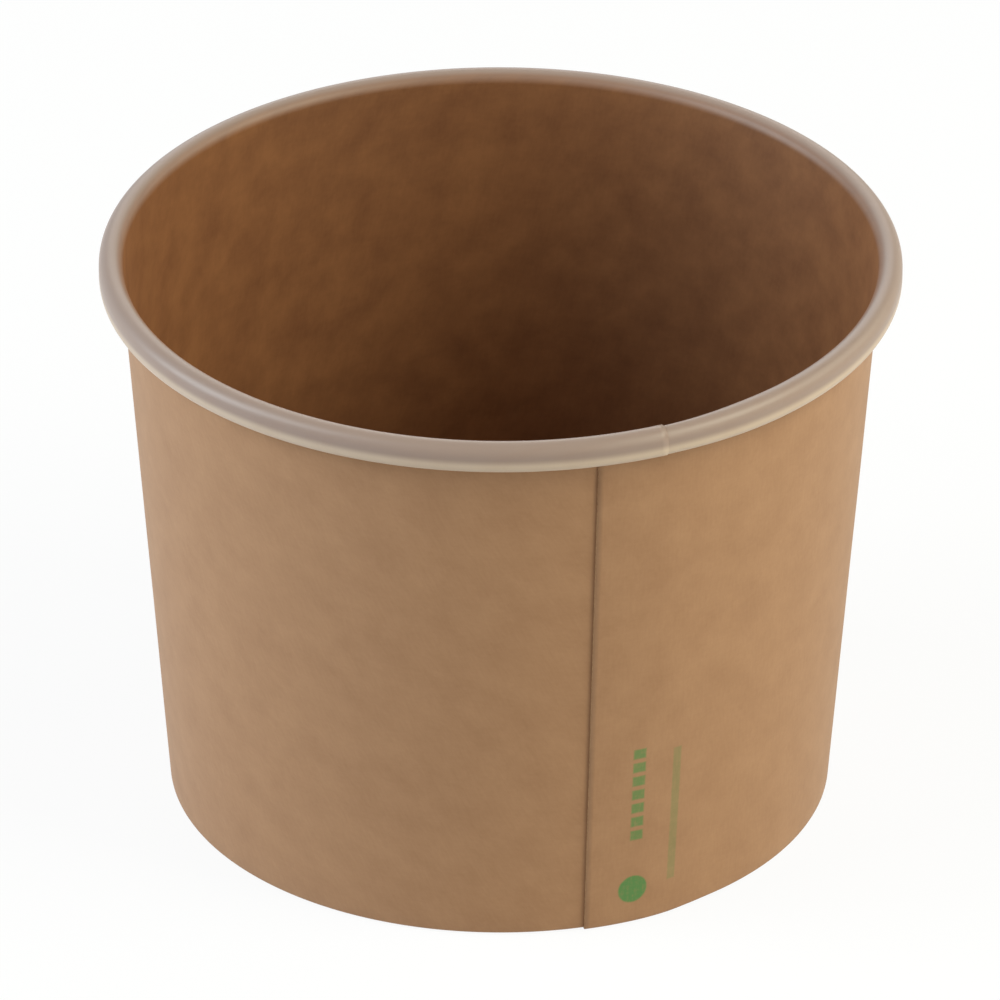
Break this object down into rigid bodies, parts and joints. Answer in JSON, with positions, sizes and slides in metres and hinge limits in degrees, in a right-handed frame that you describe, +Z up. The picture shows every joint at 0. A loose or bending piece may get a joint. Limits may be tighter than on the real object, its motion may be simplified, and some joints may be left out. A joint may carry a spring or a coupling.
{
  "type": "paper ice cream tub",
  "caption": "Round paper tub for ice cream or soup: tapered kraft board wall with a lapped side seam, a curled rim that takes a lid and a recessed base.",
  "frame": {"origin": "on the tub's axis, in the plane that it stands on", "axes": "+Z up along the tub's axis, out of its mouth; the side seam's outer edge faces -Y, 14.7 degrees towards +X"},
  "size_m": [0.096, 0.096, 0.071],
  "materials": {
    "side_wall": "uncoated kraft outside, lined inside, pale where the rim is curled",
    "base_disc": "lined kraft board"
  },
  "bodies": {
    "root": {"side_wall": "side_wall", "base_disc": "base_disc"}
  },
  "joints": []
}
